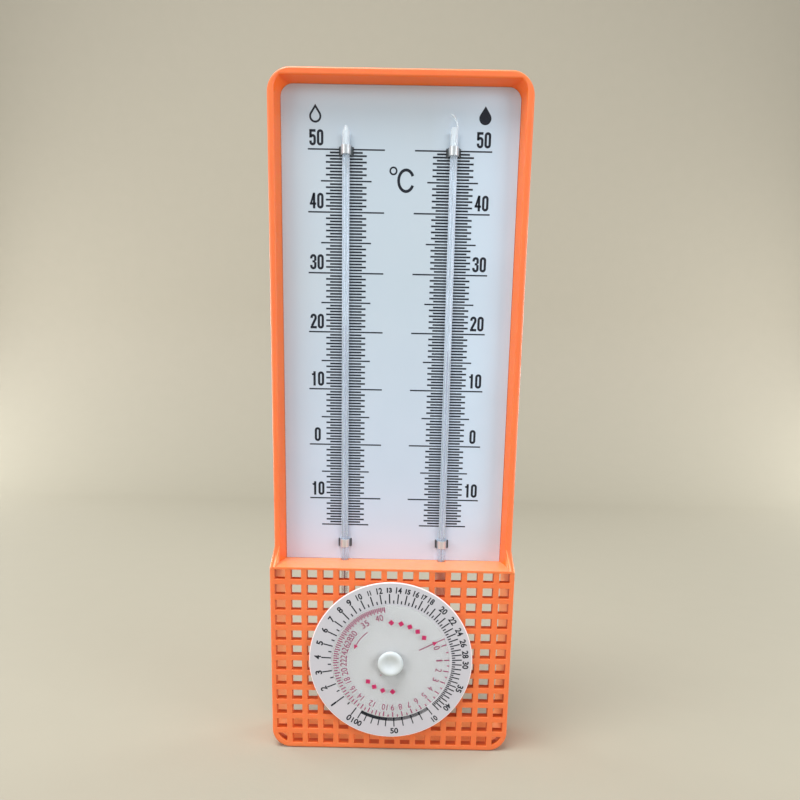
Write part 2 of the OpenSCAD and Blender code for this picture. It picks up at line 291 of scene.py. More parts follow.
@dataclass(frozen=True)
class PrintedSheet(Finish):
    """A satin white sheet that prints are laid on, with faint clouding and handling marks.

    Its tone changes from its low to its high end, which is painted light: paler low down, darker
    higher up. It can also be paler towards its right side, which is painted light from that side.
    """

    colour: Colour
    cool: Colour
    # tone at the low end, which is painted light
    warm: Colour
    rise: Span
    # paler tone towards the right side, which is painted light from that side
    right: Colour | None = None
    right_span: Span = (0.012, 0.047)
    roughness: float = 0.36
    mark_gloss: float = 0.06
    clouds: float = 0.035
    cloud_share: float = 0.35
    marks: float = 0.004
    mark_shape: Place = (1.0, 1.0, 0.35)
    grain: float = 0.0006
    grain_depth: float = 0.000008
    index: float = 1.46

    def shader(self, graph: Graph) -> Socket:
        """Adds the sheet's nodes, as Finish.shader says."""
        # painted light: the low end blends towards a paler tone
        base = graph.blend(graph.remap(graph.along("Z"), 0, 1, self.rise), self.warm, self.colour)
        # painted light: the right side blends towards a paler, cooler tone
        if self.right:
            across = graph.remap(graph.along("X"), 0, 1, self.right_span)
            base = graph.blend(across, base, self.right)
        tint = graph.clouded(self.clouds, 2, base, self.cool, self.cloud_share)
        marks = graph.noise(self.marks, 5, graph.stretched(self.mark_shape))
        gloss = graph.remap(marks, self.roughness - self.mark_gloss,
                            self.roughness + self.mark_gloss)
        skin = graph.grained(self.grain, 3, self.grain_depth)
        return graph.principled(tint, gloss, {"Normal": skin, "IOR": self.index})


@dataclass(frozen=True)
class Ink(Finish):
    """Screen-printed ink, slightly uneven where the mesh let less through."""

    colour: Colour
    thin: Colour
    cover: float = 0.0005
    cover_span: Span = (0.42, 0.85)
    gloss: Span = (0.37, 0.5)
    blots: float = 0.002
    grain: float = 0.00015
    grain_depth: float = 0.000006
    index: float = 1.45

    def shader(self, graph: Graph) -> Socket:
        """Adds the ink's nodes, as Finish.shader says."""
        tint = graph.clouded(self.cover, 4, self.colour, self.thin, span=self.cover_span)
        gloss = graph.remap(graph.noise(self.blots, 2), *self.gloss)
        skin = graph.grained(self.grain, 2, self.grain_depth)
        return graph.principled(tint, gloss, {"Normal": skin, "IOR": self.index})


@dataclass(frozen=True)
class ClearBody(Finish):
    """A clear solid that lets light straight through to what lies behind it."""

    colour: Colour
    roughness: float
    index: float
    wave: float
    wave_depth: float
    haze: float
    haze_colour: Colour
    coat: float = 0.0
    coat_roughness: float = 0.04
    haze_roughness: float = 0.4
    worn: float = 0.03

    def shader(self, graph: Graph) -> Socket:
        """Adds the clear solid's nodes, as Finish.shader says.

        Shadow rays meet a plain tint, so that the prints under it stay lit.
        """
        skin = graph.grained(self.wave, 2, self.wave_depth)
        gloss = graph.remap(graph.noise(self.wave * 3, 3), self.roughness,
                            self.roughness + self.worn)
        clear = graph.principled(self.colour, gloss, {
            "IOR": self.index, "Transmission Weight": 1.0, "Normal": skin,
            "Coat Weight": self.coat, "Coat Roughness": self.coat_roughness})
        fog = graph.principled(self.haze_colour, self.haze_roughness,
                               {"Normal": skin, "IOR": self.index})
        shade = graph.node("BsdfTransparent", {"Color": self.colour}).outputs[0]
        shadow = graph.node("LightPath").outputs["Is Shadow Ray"]
        return graph.mixed(shadow, graph.mixed(self.haze, clear, fog), shade)


@dataclass(frozen=True)
class Liquid(Finish):
    """The coloured liquid in a bulb and its bore."""

    colour: Colour
    deep: Colour = (0.6, 0.6, 0.7, 1.0)
    depth: float = 0.003
    depth_share: float = 0.3
    roughness: float = 0.12
    index: float = 1.36

    def shader(self, graph: Graph) -> Socket:
        """Adds the liquid's nodes, as Finish.shader says."""
        deep = tuple(tone * share for tone, share in zip(self.colour, self.deep))
        tint = graph.clouded(self.depth, 2, self.colour, deep, self.depth_share)
        return graph.principled(tint, self.roughness, {"IOR": self.index})


@dataclass(frozen=True)
class PlatedStrip(Finish):
    """Bright plated strip metal with fine lines from rolling, darker where it turns back, which is
    a painted dark reflection.
    """

    colour: Colour = (0.62, 0.66, 0.69, 1.0)
    worn: Colour = (0.48, 0.52, 0.55, 1.0)
    # colour of the painted dark reflection where the strip turns back
    dull: Colour = (0.12, 0.14, 0.15, 1.0)
    dull_span: Span = (0.0031, 0.0042)
    lines: float = 0.00012
    line_shape: Place = (0.15, 0.15, 1.0)
    line_depth: float = 0.000006
    blots: float = 0.0015
    blot_share: float = 0.4
    metallic: float = 0.6
    gloss: Span = (0.3, 0.44)

    def shader(self, graph: Graph) -> Socket:
        """Adds the metal's nodes, as Finish.shader says."""
        lines = graph.noise(self.lines, 3, graph.stretched(self.line_shape))
        tint = graph.clouded(self.blots, 3, self.colour, self.worn, self.blot_share)
        # painted reflection: the strip darkens where it turns back towards the plate
        tint = graph.blend(graph.remap(graph.along("Y"), 0, 1, self.dull_span), tint, self.dull)
        return graph.principled(tint, graph.remap(lines, *self.gloss), {
            "Metallic": self.metallic, "Normal": graph.bump(lines, self.line_depth)})


@dataclass(frozen=True)
class Cotton(Finish):
    """Knitted cotton, damp and a little stained, that some light passes through."""

    colour: Colour
    shade: Colour
    through: float = 0.65
    knit_share: float = 0.6
    knit_depth: float = 0.00012
    roughness: float = 0.85
    sheen: float = 0.3
    sheen_roughness: float = 0.5

    def shader(self, graph: Graph) -> Socket:
        """Adds the cotton's nodes, as Finish.shader says."""
        threads = [
            graph.node("TexWave", {"Vector": graph.place, "Scale": scale, "Distortion": bent,
                                   "Detail": 2.0}, bands_direction=way).outputs["Fac"]
            for way, scale, bent in (("Z", 1300.0, 1.5), ("X", 900.0, 2.0))]
        knit = graph.maths("MULTIPLY", *threads)
        tint = graph.blend(graph.remap(knit, 0, 1, (0.0, self.knit_share)), self.shade, self.colour)
        face = graph.principled(tint, self.roughness, {
            "Sheen Weight": self.sheen, "Sheen Roughness": self.sheen_roughness,
            "Normal": graph.bump(knit, self.knit_depth)})
        glow = graph.node("BsdfTranslucent", {"Color": tint}).outputs[0]
        return graph.mixed(self.through, face, glow)


@dataclass(frozen=True)
class Paper(Finish):
    """The matt floor and backdrop of the studio, which changes tone as it turns up."""

    floor: Colour
    wall: Colour
    turn: Span = (0.0, 0.25)
    fleck: float = 0.02
    fleck_share: float = 0.12
    fleck_tone: float = 0.9
    grain: float = 0.002
    grain_depth: float = 0.00005
    roughness: float = 0.8
    index: float = 1.3

    def shader(self, graph: Graph) -> Socket:
        """Adds the paper's nodes, as Finish.shader says."""
        base = graph.blend(graph.remap(graph.along("Z"), 0, 1, self.turn), self.floor, self.wall)
        dark = (*(tone * self.fleck_tone for tone in self.floor[:3]), 1.0)
        tint = graph.clouded(self.fleck, 4, base, dark, self.fleck_share)
        skin = graph.grained(self.grain, 3, self.grain_depth)
        return graph.principled(tint, self.roughness, {"IOR": self.index, "Normal": skin})


class Palette:
    """Every finish of the object, built once."""

    def __init__(self) -> None:
        """Builds all finishes."""
        # The orange is paler on faces that look upwards, which is painted light, and deeper on
        # faces that look sideways, which is painted shade.
        self.orange = MouldedPlastic(
            "orange_moulding", linear(240, 126, 68), linear(236, 118, 62), coat_roughness=0.2,
            sky=linear(250, 152, 98), side=linear(255, 118, 18), glow=0.4).material()
        # The grille's hole walls are darker, which is painted shade, and rougher.
        self.hollow = MouldedPlastic(
            "unpolished_walls_painted_shade", linear(222, 94, 10), linear(208, 86, 8), 0.6,
            coat=0.0).material()
        # The box's inner walls are paler, which is painted light.
        self.inside = MouldedPlastic(
            "inner_walls_painted_light", linear(255, 168, 98), linear(253, 158, 90), 0.6,
            coat=0.0).material()
        # Both sheets are paler low down, which is painted light.
        self.plate = PrintedSheet(
            "scale_sheet", linear(191, 205, 217), linear(185, 201, 217), linear(199, 212, 233),
            # the last colour is the scale sheet's paler right side, which is painted light
            (0.08, 0.2), linear(202, 223, 243)).material()
        self.dial = PrintedSheet(
            "dial_sheet", linear(199, 199, 207), linear(193, 196, 204), linear(203, 199, 207),
            (0.0, 0.09)).material()
        self.black_ink = Ink("black_ink", linear(12, 20, 34), linear(26, 34, 48)).material()
        self.red_ink = Ink("red_ink", linear(190, 30, 92), linear(198, 58, 112)).material()
        self.mauve_ink = Ink("mauve_ink", linear(146, 52, 94), linear(166, 80, 116)).material()
        self.glass = ClearBody(
            "thermometer_glass", (0.97, 0.98, 1.0, 1.0), 0.02, 1.14, 0.02, 0.000001,
            0.28, linear(186, 200, 212)).material()
        # The fused ends are paler, hazier glass, which is a painted highlight.
        self.frosted = ClearBody(
            "fused_tip_painted_highlight", (0.97, 0.98, 1.0, 1.0), 0.05, 1.2, 0.006, 0.000002,
            0.5, linear(226, 236, 241), 0.2).material()
        self.enamel = MouldedPlastic(
            "milk_enamel", linear(196, 206, 216), linear(188, 200, 212), 0.3,
            0.0004, 0.000002, 0.01).material()
        self.spirit = Liquid("violet_spirit", linear(158, 158, 182)).material()
        # The clips' metal darkens where it turns back, which is a painted dark reflection.
        self.metal = PlatedStrip("plated_strip").material()
        self.cotton = Cotton("wick_cotton", linear(255, 238, 226), linear(254, 220, 204)).material()
        self.milky = MouldedPlastic(
            "milky_moulding", linear(228, 230, 226), linear(220, 224, 220), 0.45).material()
        self.clear = ClearBody(
            "clear_sheet", (0.93, 0.935, 0.93, 1.0), 0.03, 1.03, 0.01, 0.000002,
            0.2, linear(192, 198, 193)).material()
        # The dial sheet's cut edge is near white, which is a painted glow of light along the edge.
        self.cut_edge = MouldedPlastic(
            "cut_edge", linear(252, 240, 242), linear(255, 232, 236), 0.3).material()
        self.knob = MouldedPlastic(
            "white_moulding", linear(214, 221, 225), linear(208, 216, 221), 0.3,
            0.0003, 0.000004, 0.01).material()
        self.paper = Paper(
            "studio_paper", linear(170, 165, 149), linear(174, 168, 153)).material()


def finished(name: str, bm: BMesh, materials: Sequence[Material],
             smooth: float | None = SMOOTH) -> Piece:
    """Turns a bmesh into an object at the origin.

    Args:
        name: Name of the piece.
        bm: The shape, which is freed.
        materials: Its materials, in the order of its faces' indices.
        smooth: Largest angle in degrees that is shaded smooth, or None for flat faces.

    Returns:
        The new object.
    """
    mesh = bpy.data.meshes.new(name)
    bm.to_mesh(mesh)
    bm.free()
    for material in materials:
        mesh.materials.append(material)
    piece = bpy.data.objects.new(name, mesh)
    bpy.context.scene.collection.objects.link(piece)
    if smooth is not None:
        mesh.shade_smooth()
        mesh.set_sharp_from_angle(angle=math.radians(smooth))
        even = piece.modifiers.new("even_shading", "WEIGHTED_NORMAL")
        even.keep_sharp = True
        even.weight = EVEN_WEIGHT
    return piece


def anchor(piece: Piece, body: Body, slot: Slot, *nodes: str) -> None:
    """Makes a piece ride on a body and hides the solids that it stands for.

    Args:
        piece: The piece.
        body: The body that it moves with.
        slot: Its material slot in the record, not used.
        nodes: The solids that it replaces.
    """
    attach(piece, body.value)
    if nodes:
        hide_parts(*nodes)
    LOG.info("built %s on %s", piece.name, body.value)


def rounded_edges(bm: BMesh, radius: float, segments: int,
                  wanted: Callable[[Edge], bool] | None = None, clamp: bool = True) -> None:
    """Rounds the sharp edges of a shape.

    Args:
        bm: The shape.
        radius: Width of the rounding in metres.
        segments: Number of steps in the rounding.
        wanted: Says which sharp edges are rounded.
        clamp: Keeps neighbouring roundings from overlapping.
    """
    sharp = [edge for edge in bm.edges
             if edge.is_manifold and edge.calc_face_angle(0) > math.radians(SHARP)
             and (wanted is None or wanted(edge))]
    bmesh.ops.bevel(bm, geom=sharp, offset=radius, offset_type="OFFSET", segments=segments,
                    profile=0.5, affect="EDGES", clamp_overlap=clamp, material=-1)


def spun(bm: BMesh, parts: Sequence[Any], centre: Place, axis: Place, angle: float,
         steps: int, whole: bool) -> None:
    """Sweeps parts of a shape round an axis.

    Args:
        bm: The shape.
        parts: The corners, edges and faces that are swept.
        centre: A point on the axis.
        axis: Direction of the axis.
        angle: Angle of the sweep in degrees.
        steps: Number of steps in it.
        whole: Joins the end of a full turn to its start.
    """
    bmesh.ops.spin(bm, geom=list(parts), cent=centre, axis=axis, dvec=(0, 0, 0),
                   angle=math.radians(angle), steps=steps, use_merge=whole, use_duplicate=False)


def lathed(profile: Sequence[Place], centre: Place, axis: Place, steps: int,
           cuts: int = 0) -> BMesh:
    """Turns a profile into a round shape.

    Args:
        profile: Corners of the profile, in order.
        centre: A point on the axis.
        axis: Direction of the axis.
        steps: Number of steps in the full turn.
        cuts: Further corners in each stretch of the profile.

    Returns:
        The shape, with its faces outwards.
    """
    bm = bmesh.new()
    verts = [bm.verts.new(corner) for corner in profile]
    edges = [bm.edges.new(pair) for pair in zip(verts, verts[1:])]
    if cuts:
        bmesh.ops.subdivide_edges(bm, edges=edges, cuts=cuts)
    spun(bm, [*bm.verts, *bm.edges], centre, axis, 360, steps, True)
    bmesh.ops.remove_doubles(bm, verts=bm.verts, dist=SAME_SPOT)
    bmesh.ops.recalc_face_normals(bm, faces=bm.faces)
    return bm


def clockwise(angle: float) -> Matrix:
    """Gives a turn by an angle in degrees, as seen on a print."""
    return Matrix.Rotation(-math.radians(angle), 4, "Z")


class Press:
    """Collects flat ink shapes, drawn from the front, and lays them on a face that looks forwards.

    Until they are laid, the shapes stand with x to the right and y upwards. Angles are in degrees,
    clockwise from the top.
    """

    _glyphs: dict[tuple[str, float], bpy.types.Mesh] = {}

    def __init__(self, face_y: float, thickness: float = INK_T) -> None:
        """Starts an empty print.

        Args:
            face_y: Depth of the face that the ink lies on.
            thickness: Thickness of the ink.
        """
        self.face_y = face_y
        self.thickness = thickness
        self.bm = bmesh.new()

    def bar(self, x: float, z: float, width: float, height: float, turn: float = 0.0) -> None:
        """Prints a rectangle.

        Args:
            x: Centre of the rectangle.
            z: Centre of the rectangle.
            width: Its width before it is turned.
            height: Its height before it is turned.
            turn: Angle that it is turned by.
        """
        size = Matrix.Diagonal((width, height, self.thickness, 1))
        spot = Matrix.Translation((x, z, self.thickness / 2))
        bmesh.ops.create_cube(self.bm, size=1, matrix=spot @ clockwise(turn) @ size)

    def line(self, start: Point, stop: Point, width: float) -> None:
        """Prints a straight stroke from one point to another."""
        x, z = stop[0] - start[0], stop[1] - start[1]
        self.bar((start[0] + stop[0]) / 2, (start[1] + stop[1]) / 2, width, math.hypot(x, z),
                 math.degrees(math.atan2(x, z)))

    def spoke(self, centre: Point, angle: float, inner: float, outer: float, width: float) -> None:
        """Prints a line that points away from a centre, from an inner to an outer radius."""
        middle, a = (inner + outer) / 2, math.radians(angle)
        self.bar(centre[0] + middle * math.sin(a), centre[1] + middle * math.cos(a), width,
                 outer - inner, angle)

    def dot(self, spot: Point, radius: float, sides: int, turn: float = 0.0,
            stretch: float = 1.0) -> None:
        """Prints a filled round or many-sided spot."""
        place = (Matrix.Translation((*spot, self.thickness / 2)) @ clockwise(turn)
                 @ Matrix.Diagonal((1, stretch, 1, 1)))
        bmesh.ops.create_cone(self.bm, cap_ends=True, segments=sides, radius1=radius,
                              radius2=radius, depth=self.thickness, matrix=place)

    def arc(self, x: float, z: float, radius: float, width: float, start: float, stop: float,
            tall: float = 0.0) -> None:
        """Prints a bent line.

        Args:
            x: Centre of the bend.
            z: Centre of the bend.
            radius: Radius at the middle of the line.
            width: Width of the line.
            start: Angle where it begins.
            stop: Angle where it ends.
            tall: How much further the bend reaches upwards and downwards than sideways.
        """
        whole = stop - start >= 360
        before = len(self.bm.verts)
        a = math.radians(start)
        out = Vector((math.sin(a), math.cos(a), 0))
        section = ((-1, 0), (1, 0), (1, self.thickness), (-1, self.thickness))
        verts = [self.bm.verts.new(Vector((x, z, 0)) + out * (radius + side * width / 2)
                                   + Vector((0, 0, lift))) for side, lift in section]
        edges = [self.bm.edges.new((verts[i], verts[(i + 1) % 4])) for i in range(4)]
        faces = [] if whole else [self.bm.faces.new(verts)]
        steps = max(6, int(abs(stop - start) / 9))
        spun(self.bm, [*verts, *edges, *faces], (x, z, 0), (0, 0, -1), stop - start, steps, whole)
        if tall:
            self.bm.verts.ensure_lookup_table()
            for vert in self.bm.verts[before:]:
                vert.co.y += tall * (vert.co.y - z) / math.hypot(vert.co.x - x, vert.co.y - z)

    def drop(self, x: float, z: float, width: float, height: float, line: float | None) -> None:
        """Prints a drop, as an outline or filled.

        Args:
            x: Centre of the drop.
            z: Centre of the drop.
            width: Width of its round part.
            height: Height to its tip.
            line: Width of the outline, or None for a filled drop.
        """
        radius = width / 2
        reach = height - radius
        lean = math.acos(radius / reach)
        shape = bmesh.new()
        bmesh.ops.create_circle(shape, cap_ends=True, segments=48, radius=radius)
        for vert in shape.verts:
            if abs(math.atan2(vert.co.x, vert.co.y)) < lean:
                vert.co = Vector((0, reach, 0))
        bmesh.ops.remove_doubles(shape, verts=shape.verts, dist=SAME_INK)
        if line is not None:
            ring = bmesh.ops.inset_region(shape, faces=list(shape.faces), thickness=line,
                                          use_even_offset=True, use_boundary=True)["faces"]
            middle = [face for face in shape.faces if face not in set(ring)]
            bmesh.ops.delete(shape, geom=middle, context="FACES")
        raised = bmesh.ops.extrude_face_region(shape, geom=list(shape.faces))["geom"]
        bmesh.ops.translate(shape, vec=(0, 0, self.thickness),
                            verts=[part for part in raised if isinstance(part, bmesh.types.BMVert)])
        bmesh.ops.translate(shape, vec=(x, z - height / 2 + radius, 0), verts=shape.verts)
        mesh = bpy.data.meshes.new("drop")
        shape.to_mesh(mesh)
        shape.free()
        self.bm.from_mesh(mesh)
        bpy.data.meshes.remove(mesh)

    def word(self, text: str, spot: Point, height: float, width: float, turn: float,
             weight: float) -> None:
        """Prints figures.

        Args:
            text: The figures.
            spot: Middle of the word.
            height: Height of the figures.
            width: Width of the whole word.
            turn: Angle that it is turned by.
            weight: Extra boldness, as a share of the type size.
        """
        glyph = self._glyph(text, weight)
        xs = [vert.co.x for vert in glyph.vertices]
        ys = [vert.co.y for vert in glyph.vertices]
        home = Matrix.Translation((-(min(xs) + max(xs)) / 2, -(min(ys) + max(ys)) / 2, 0))
        grow = Matrix.Diagonal((width / (max(xs) - min(xs)), height / (max(ys) - min(ys)),
                                self.thickness, 1))
        before = len(self.bm.verts)
        self.bm.from_mesh(glyph)
        self.bm.verts.ensure_lookup_table()
        place = Matrix.Translation((*spot, 0)) @ clockwise(turn) @ grow @ home
        bmesh.ops.transform(self.bm, matrix=place, verts=self.bm.verts[before:])

    @classmethod
    def _glyph(cls, text: str, weight: float) -> bpy.types.Mesh:
        """Gives the solid figures of a word, one unit thick, made once for each word.

        Args:
            text: The figures.
            weight: Extra boldness.

        Returns:
            Their mesh, with its back at zero.
        """
        key = (text, weight)
        if key not in cls._glyphs:
            curve = bpy.data.curves.new("figures", "FONT")
            curve.body, curve.size, curve.resolution_u = text, 1.0, 4
            curve.offset, curve.extrude = weight, 0.5
            holder = bpy.data.objects.new("figures", curve)
            bpy.context.scene.collection.objects.link(holder)
            solid = holder.evaluated_get(bpy.context.evaluated_depsgraph_get())
            mesh = bpy.data.meshes.new_from_object(solid)
            bpy.data.objects.remove(holder)
            mesh.transform(Matrix.Translation((0, 0, curve.extrude)))
            cls._glyphs[key] = mesh
        return cls._glyphs[key]

    def laid(self, name: str, ink: Material) -> Piece:
        """Lays the print on its face.

        Args:
            name: Name of the piece.
            ink: Its finish.

        Returns:
            The printed piece.
        """
        bmesh.ops.remove_doubles(self.bm, verts=self.bm.verts, dist=SAME_INK)
        bmesh.ops.recalc_face_normals(self.bm, faces=self.bm.faces)
        stand = Matrix.Translation((0, self.face_y, 0)) @ Matrix.Rotation(math.pi / 2, 4, "X")
        bmesh.ops.transform(self.bm, matrix=stand, verts=self.bm.verts)
        return finished(name, self.bm, [ink], None)


@dataclass(frozen=True)
class BoldFigures:
    """Narrow bold figures, drawn from straight strokes and bends."""

    height: float = 0.0059
    width: float = 0.0026
    stroke: float = 0.00096
    gap: float = 0.0004
    lap: float = 0.00003

    def lay(self, press: Press, text: str, x: float, z: float) -> None:
        """Prints figures side by side.

        Args:
            press: The print that they go into.
            text: The figures.
            x: Middle of the whole number.
            z: Height of its middle.
        """
        bend = (self.width - self.stroke) / 2
        shapes = self._shapes(bend / MM)
        for place, figure in enumerate(text):
            middle = x + (place - (len(text) - 1) / 2) * (self.width + self.gap)
            bends, lines = shapes[figure]
            for rise, start, stop in bends:
                press.arc(middle, z + rise * MM, bend, self.stroke, start, stop)
            for x0, z0, x1, z1, *width in lines:
                press.line((middle + x0 * MM, z + z0 * MM), (middle + x1 * MM, z + z1 * MM),
                           width[0] * MM if width else self.stroke)

    def _shapes(self, a: float) -> dict[str, tuple[Strokes, Strokes]]:
        """Gives the bends and strokes of each figure round its own middle, in millimetres.

        Args:
            a: Half the figure's width, to the middle of its strokes.

        Returns:
            For each figure its bends as centre height, start and stop, and its strokes as two
            ends, with a width where it isn't the usual one.
        """
        half, lap = self.stroke / 2 / MM, self.lap / MM
        e = self.height / 2 / MM - half
        c = e - a
        top, foot = (c, -90, 90), (-c, 90, 270)
        return {
            "0": ([top, foot], [(-a, -c - lap, -a, c + lap), (a, -c - lap, a, c + lap)]),
            "1": ([], [(0.25, -e - half, 0.25, e + half), (-0.85, 1.62, 0.2, 1.92, 0.75)]),
            "2": ([top], [(a, 0.85, a, c + lap), (-a, c - 0.4, -a, c + lap),
                          (a, 1.0, -a + 0.12, -2.0), (-a - half, -e, a + half, -e)]),
            "3": ([top, foot], [(a, 0.45, a, c + lap), (a, -c - lap, a, -0.15),
                                (-0.35, 0.15, a + 0.05, 0.15, 0.85),
                                (-a, c - 0.4, -a, c + lap), (-a, -c - lap, -a, -c + 0.4)]),
            "4": ([], [(0.45, -e - half, 0.45, e + half),
                       (-a - half, -1.15, a + half, -1.15, 0.82),
                       (0.3, e + 0.1, -a + 0.02, -1.0, 0.74)]),
            "5": ([(0.7 - a, -90, 90), foot],
                  [(-a - half, e, a + half - 0.12, e), (-a, 0.2, -a, e),
                   (a, -c - lap, a, 0.72 - a), (-a, -c - lap, -a, -c + 0.45)]),
        }


@dataclass
class Assembly:
    """A sub-assembly, with the loaded frame that it is built on and the finishes."""

    frame: dict[str, Any]
    palette: Palette

    def solid(self, node: str) -> BMesh:
        """Copies a solid with its loose triangles joined and its flat faces made whole.

        Args:
            node: The solid's name.

        Returns:
            The copy.
        """
        bm = bmesh.new()
        bm.from_mesh(self.frame["nodes"][node].data)
        bmesh.ops.remove_doubles(bm, verts=bm.verts, dist=SAME_SPOT)
        bmesh.ops.dissolve_limit(bm, angle_limit=math.radians(1), verts=bm.verts, edges=bm.edges,
                                 delimit={"NORMAL"})
        return bm

    def soften(self, node: str, name: str, body: Body, slot: Slot,
               materials: Sequence[Material], radius: float, segments: int = 2) -> Piece:
        """Replaces a solid by a copy with its sharp edges rounded.

        Args:
            node: The solid's name.
            name: Name of the new piece.
            body: The body that it rides on.
            slot: Its material slot in the record.
            materials: Its materials.
            radius: Width of the rounding in metres.
            segments: Number of steps in the rounding.

        Returns:
            The new piece.
        """
        bm = self.solid(node)
        rounded_edges(bm, radius, segments)
        piece = finished(name, bm, materials)
        anchor(piece, body, slot, node)
        return piece

    def dress(self, node: str, material: Material) -> None:
        """Gives a carried-over solid its finish.

        Args:
            node: The solid's name.
            material: The finish.
        """
        slots = self.frame["nodes"][node].data.materials
        for index in range(len(slots)):
            slots[index] = material
        if not slots:
            slots.append(material)
        LOG.info("dressed %s", node)


@dataclass
class Housing(Assembly):
    """The orange moulding, its grille and the tab that it hangs by."""

    rim_edge: float = 0.001
    recess_edge: float = 0.0006
    shelf_edge: float = 0.0003
    grille_edge: float = 0.00014
    tab_edge: float = 0.0002
    rim_y: float = -0.0017
    front_y: float = -0.013
    seam_y: float = -0.009
    lip_z: float = 0.0809
    shelf_z: float = 0.0819
    floor_z: float = 0.0021
    middle_z: float = 0.177
    half_width: float = 0.05155
    foot_r: float = 0.0082
    box_half: float = 0.0497
    holes_half: float = 0.0496
    near: float = 0.00002
    upright: float = 0.3
    forwards: float = -0.5
    sideways: float = 0.35
    outwards: float = 0.9
    slack: float = 0.0001

    def build(self) -> None:
        """Builds and dresses the moulding."""
        shell = self.solid("housing")
        rounded_edges(shell, self.rim_edge, 5, self._rim_outer)
        rounded_edges(shell, self.recess_edge, 4, self._rim_inner)
        rounded_edges(shell, self.shelf_edge, 3, self._shelf_edge)
        # the box's inner walls take the paler finish, which is painted light
        self._mould(shell, "housing_shell", "housing", self.palette.inside, self.box_half)
        panel = self.solid("front_grille")
        rounded_edges(panel, self.rim_edge, 5, self._box_edge)
        rounded_edges(panel, self.grille_edge, 2, self._free_edge, clamp=False)
        # the grille's hole walls take the darker finish, which is painted shade
        self._mould(panel, "grille_panel", "front_grille", self.palette.hollow, self.holes_half)
        self.soften("hanging_tab", "hanging_tab_soft", Body.FRAME, Slot.ORANGE,
                    [self.palette.orange], self.tab_edge)

    def _mould(self, bm: BMesh, name: str, node: str, inner: Material, reach: float) -> None:
        """Makes a piece of the moulding, with its own finish on the walls inside the box.

        Args:
            bm: The shape.
            name: Name of the piece.
            node: The solid that it replaces.
            inner: Finish of the inner walls, whose colour is painted light in the box and painted
                shade in the grille's holes.
            reach: How far from the middle the inner walls stand at most.
        """
        # faces of the inner walls take the second finish, which carries the painted light of the
        # box's inner walls and the painted shade of the grille's hole walls
        for face in bm.faces:
            spot = face.calc_center_median()
            face.material_index = int(abs(face.normal.y) < self.upright and abs(spot.x) < reach
                                      and self.floor_z < spot.z < self.lip_z - self.near)
        piece = finished(name, bm, [self.palette.orange, inner])
        anchor(piece, Body.FRAME, Slot.ORANGE, node)

    def _lies_at(self, edge: Edge, axis: int, value: float) -> bool:
        """Says whether both ends of an edge are at a place along an axis."""
        return all(abs(vert.co[axis] - value) < self.near for vert in edge.verts)

    def _rim_edge(self, edge: Edge) -> bool:
        """Says whether an edge runs along the rim's front, down a slope or the box's corner.

        Args:
            edge: The edge.

        Returns:
            True for such an edge.
        """
        heights = [vert.co.z for vert in edge.verts]
        level = max(heights) - min(heights) < self.near
        low = max(heights) < self.shelf_z + self.near
        ahead = max(vert.co.y for vert in edge.verts) <= self.rim_y + self.near
        return (ahead and not (level and low) and self._turns_from_front(edge)
                and self._free_edge(edge))

    def _rim_outer(self, edge: Edge) -> bool:
        """Says whether an edge of the rim's front is on its outside."""
        return self._rim_edge(edge) and self._away(edge)

    def _rim_inner(self, edge: Edge) -> bool:
        """Says whether an edge of the rim's front is towards the recess."""
        return self._rim_edge(edge) and not self._away(edge)

    def _away(self, edge: Edge) -> bool:
        """Says whether the side face at an edge looks away from the middle of the recess.

        Args:
            edge: The edge.

        Returns:
            True where it looks outwards.
        """
        side = min(edge.link_faces, key=lambda face: abs(face.normal.y)).normal
        spot = (edge.verts[0].co + edge.verts[1].co) / 2
        return side.x * spot.x + side.z * (spot.z - self.middle_z) > 0

    def _shelf_edge(self, edge: Edge) -> bool:
        """Says whether an edge is the front of the shelf."""
        return (self._lies_at(edge, 2, self.shelf_z) and self._lies_at(edge, 1, self.front_y)
                and self._turns_from_front(edge))

    def _box_edge(self, edge: Edge) -> bool:
        """Says whether an edge runs round the outside of the grille's front."""
        return self._lies_at(edge, 1, self.front_y) and any(
            math.hypot(face.normal.x, face.normal.z) > self.outwards and self._outside(face)
            for face in edge.link_faces)

    def _outside(self, face: Face) -> bool:
        """Says whether a face is part of the box's outer wall, round its foot corners too.

        Args:
            face: The face.

        Returns:
            True for an outer face.
        """
        spot = face.calc_center_median()
        reach = math.hypot(max(abs(spot.x) - self.half_width + self.foot_r, 0),
                           max(self.foot_r - spot.z, 0))
        return reach > self.foot_r - self.slack

    def _turns_from_front(self, edge: Edge) -> bool:
        """Says whether an edge lies between a face that looks forwards and one to the side."""
        facing = sorted(face.normal.y for face in edge.link_faces)
        return facing[0] < self.forwards and abs(facing[-1]) < self.sideways

    def _free_edge(self, edge: Edge) -> bool:
        """Says whether an edge lies off the joint between the moulding and its grille.

        Args:
            edge: The edge.

        Returns:
            False for an edge along the joint.
        """
        low = max(vert.co.z for vert in edge.verts) < self.lip_z + self.near
        behind = max(vert.co.y for vert in edge.verts) >= self.seam_y + self.near
        on_seam = self._lies_at(edge, 1, self.seam_y)
        return not (on_seam and low) and (behind or not self._lies_at(edge, 2, self.lip_z))


